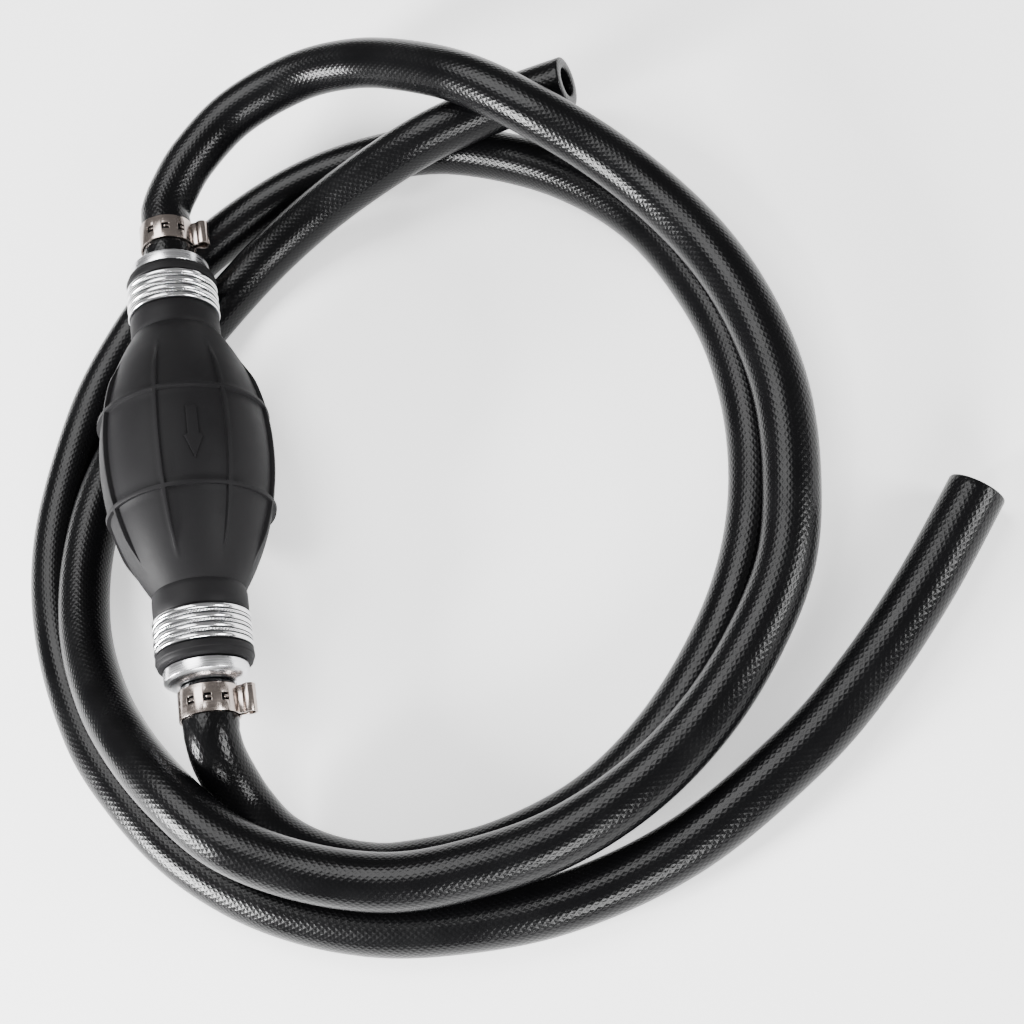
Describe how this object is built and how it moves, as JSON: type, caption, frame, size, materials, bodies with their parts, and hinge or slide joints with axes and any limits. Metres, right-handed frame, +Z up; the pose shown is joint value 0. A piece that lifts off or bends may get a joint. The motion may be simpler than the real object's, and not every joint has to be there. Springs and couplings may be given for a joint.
{
  "type": "hand squeeze siphon bulb with two hoses",
  "caption": "Hand-squeezed siphon: a rubber bulb with a one-way valve in each crimped end fitting and a braided-look hose clamped to each barb, loosely coiled.",
  "frame": {"origin": "middle of the squeeze bulb, on the flow axis", "axes": "+Y along the flow axis towards the inlet, so water flows towards -Y; +Z up from the floor that the hoses lie on, which is at z = -0.029; +X to the right when looking along +Y"},
  "size_m": [0.2821, 0.2782, 0.0539],
  "materials": {
    "bulb_rubber": "matt charcoal, moulded",
    "hose_rubber": "glossy black with a fine braided imprint",
    "seal_rubber": "satin black",
    "turned_aluminium": "bright turned",
    "ferrule_aluminium": "bright, ridged",
    "clamp_steel": "bright spring steel",
    "spring_steel": "bright wire",
    "seat_brass": "turned",
    "poppet_plastic": "natural acetal",
    "guide_plastic": "natural acetal"
  },
  "bodies": {
    "siphon": {"squeeze_bulb": "bulb_rubber", "inlet_barb_fitting": "turned_aluminium", "inlet_crimp_ferrule": "ferrule_aluminium", "inlet_seal_ring": "seal_rubber", "inlet_valve_seat": "seat_brass", "inlet_valve_guide": "guide_plastic", "inlet_valve_spring": "spring_steel", "suction_hose_cuff": "hose_rubber", "suction_ear_clamp": "clamp_steel", "suction_hose": "hose_rubber", "outlet_barb_fitting": "turned_aluminium", "outlet_crimp_ferrule": "ferrule_aluminium", "outlet_seal_ring": "seal_rubber", "outlet_valve_seat": "seat_brass", "outlet_valve_guide": "guide_plastic", "outlet_valve_spring": "spring_steel", "discharge_hose_cuff": "hose_rubber", "discharge_ear_clamp": "clamp_steel", "discharge_hose": "hose_rubber"},
    "inlet_valve": {"inlet_valve_poppet": "poppet_plastic"},
    "outlet_valve": {"outlet_valve_poppet": "poppet_plastic"}
  },
  "joints": [
    {"name": "inlet_valve_lift", "type": "slide", "parent": "siphon", "child": "inlet_valve", "axis": [0, -1, 0], "range_m": [0, 0.002], "stiffness_N_per_m": 60, "springref_m": -0.0015, "deforming": ["inlet_valve_spring"]},
    {"name": "outlet_valve_lift", "type": "slide", "parent": "siphon", "child": "outlet_valve", "axis": [0, -1, 0], "range_m": [0, 0.002], "stiffness_N_per_m": 60, "springref_m": -0.0015, "deforming": ["outlet_valve_spring"]}
  ]
}
